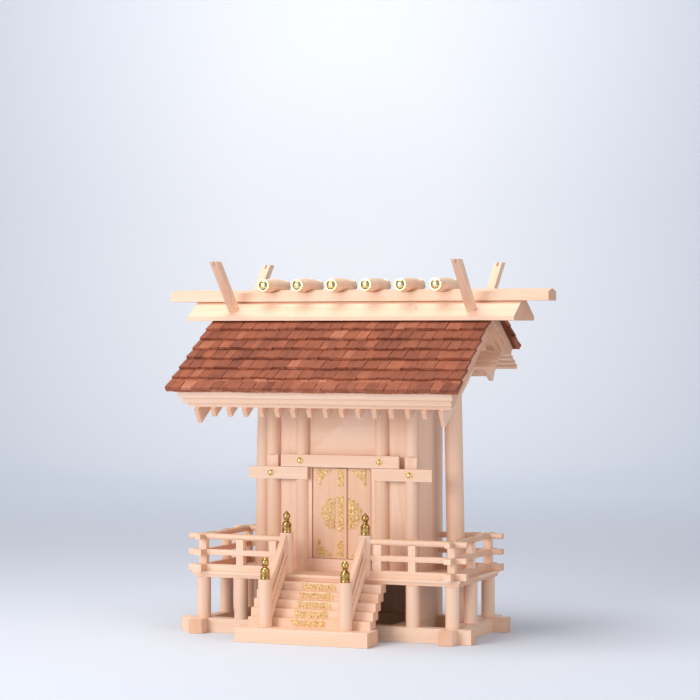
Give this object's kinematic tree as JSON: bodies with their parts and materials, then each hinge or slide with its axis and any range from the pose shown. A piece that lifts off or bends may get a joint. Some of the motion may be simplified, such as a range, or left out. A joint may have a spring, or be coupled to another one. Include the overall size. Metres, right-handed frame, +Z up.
{
  "type": "miniature household shrine",
  "caption": "Miniature wooden shrine with a shingled gable roof, forked finials and ridge logs, a railed veranda, a front stair and a pair of doors that open outward",
  "frame": {"origin": "middle of the footprint on the ground", "axes": "+X along the ridge to the right of someone facing the doors, -Y the stair side, +Z up"},
  "size_m": [0.545, 0.2972, 0.492],
  "materials": {
    "hinoki": "planed pale cypress, unvarnished",
    "shingle": "split cedar shingle, reddish brown",
    "gilt": "thin gilt brass plate, stamped and polished",
    "brass": "turned brass, slightly aged"
  },
  "bodies": {
    "shrine": {"cross_sills": "hinoki", "side_sills": "hinoki", "stair_base": "hinoki", "steps": "hinoki", "riser_plates": "gilt", "newels": "hinoki", "newel_finials": "brass", "stair_handrails": "hinoki", "veranda_posts": "hinoki", "front_deck": "hinoki", "side_decks": "hinoki", "deck_frames": "hinoki", "rail_posts": "hinoki", "bottom_rails": "hinoki", "mid_rails": "hinoki", "top_rails": "hinoki", "rail_strips": "gilt", "body_floor": "hinoki", "front_columns": "hinoki", "front_panels": "hinoki", "transom_panel": "hinoki", "side_walls": "hinoki", "rear_wall": "hinoki", "door_sill": "hinoki", "door_frame": "hinoki", "upper_nageshi": "hinoki", "lower_nageshi": "hinoki", "nageshi_studs": "gilt", "ridge_pillars": "hinoki", "wall_plates": "hinoki", "ridge_purlin": "hinoki", "front_rafters": "hinoki", "rear_rafters": "hinoki", "bargeboards": "hinoki", "gable_bars": "hinoki", "front_roof_boards": "hinoki", "rear_roof_boards": "hinoki", "front_shingles": "shingle", "rear_shingles": "shingle", "ridge_boards": "hinoki", "ridge_end_blocks": "hinoki", "ridge_beam": "hinoki", "chigi": "hinoki", "ridge_logs": "hinoki", "log_caps": "gilt"},
    "left_leaf": {"left_door": "hinoki", "astragal": "hinoki", "left_door_fittings": "gilt"},
    "right_leaf": {"right_door": "hinoki", "right_door_fittings": "gilt"}
  },
  "joints": [
    {"name": "left_door_swing", "type": "hinge", "parent": "shrine", "child": "left_leaf", "pos_m": [-0.0397, -0.00457, 0.1573], "axis": [0, 0, -1], "range_deg": [0, 90]},
    {"name": "right_door_swing", "type": "hinge", "parent": "shrine", "child": "right_leaf", "pos_m": [0.0397, -0.00457, 0.1573], "axis": [0, 0, 1], "range_deg": [0, 90]}
  ],
  "couplings": [
    {"joint": "right_door_swing", "follows": "left_door_swing", "ratio": 1}
  ]
}
